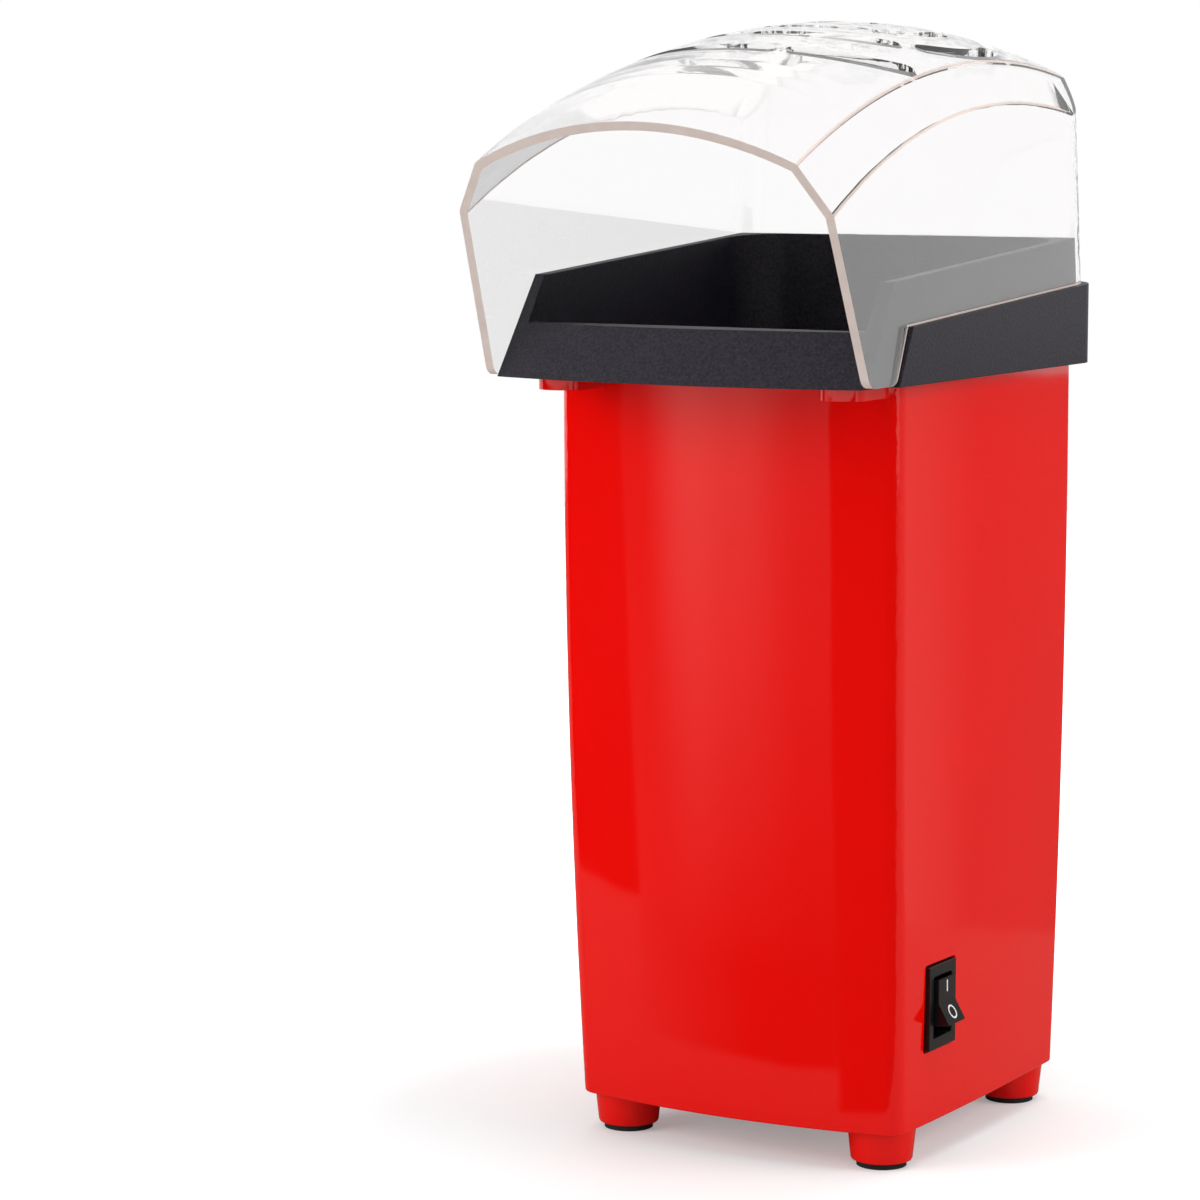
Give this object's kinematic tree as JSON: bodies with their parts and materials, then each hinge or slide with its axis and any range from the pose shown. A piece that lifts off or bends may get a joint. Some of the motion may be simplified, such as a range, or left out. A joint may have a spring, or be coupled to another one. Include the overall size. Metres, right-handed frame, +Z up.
{
  "type": "popcorn maker",
  "caption": "Upright hot-air popcorn maker: red rounded body, black spout collar, clear lift-off hood with vents, rocker switch, fan, heater and popping chamber inside.",
  "frame": {"origin": "on the standing surface, under the middle of the object's outline in plan", "axes": "+Z up along the fan axis, -Y towards the spout, +X towards the switch"},
  "size_m": [0.105, 0.1525, 0.28],
  "materials": {
    "red_plastic": "glossy moulded red",
    "black_plastic": "fine matt texture",
    "clear_plastic": "clear, polished",
    "switch_plastic": "satin black",
    "housing_plastic": "matt, heat resistant",
    "fan_plastic": "natural nylon",
    "rubber": "matt",
    "screw_steel": "plated",
    "plated_steel": "zinc plated sheet",
    "brass": "stamped",
    "bronze": "sintered, oiled",
    "ferrite": "matt, sintered",
    "armature_iron": "laminations and copper windings",
    "board_laminate": "paper laminate",
    "mica": "pearly sheet",
    "heater_wire": "oxidised resistance wire",
    "aluminium": "drawn, satin"
  },
  "bodies": {
    "housing": {"body_shell": "red_plastic", "base_cover": "red_plastic", "foot_pads": "rubber", "base_screws": "screw_steel", "switch_frame": "switch_plastic", "switch_terminals": "brass", "cord_bush": "rubber", "motor_can": "plated_steel", "motor_end_cap": "black_plastic", "motor_bushes": "bronze", "motor_magnets": "ferrite", "motor_terminals": "brass", "rectifier_board": "board_laminate", "rectifier_diodes": "switch_plastic", "motor_screws": "screw_steel", "fan_housing": "housing_plastic", "housing_screws": "screw_steel", "hot_air_sleeve": "plated_steel", "mica_plate_upper": "mica", "mica_plate_lower": "mica", "heater_coil": "heater_wire", "thermostat": "plated_steel", "popping_chamber": "aluminium", "chamber_screws": "screw_steel", "collar": "black_plastic", "collar_screws": "screw_steel"},
    "cover": {"clear_cover": "clear_plastic"},
    "rocker": {"switch_rocker": "switch_plastic"},
    "fan": {"motor_shaft": "screw_steel", "motor_armature": "armature_iron", "fan_impeller": "fan_plastic", "fan_clip": "screw_steel"}
  },
  "joints": [
    {"name": "cover_lift", "type": "slide", "parent": "housing", "child": "cover", "axis": [0, 0, 1], "range_m": [0, 0.12]},
    {"name": "rocker_tilt", "type": "hinge", "parent": "housing", "child": "rocker", "pos_m": [0.0438, -0.00095, 0.0392], "axis": [0, 1, 0], "range_deg": [0, 30]},
    {"name": "fan_spin", "type": "hinge", "parent": "housing", "child": "fan", "pos_m": [0, 0.02305, 0.07], "axis": [0, 0, 1], "continuous": true}
  ]
}
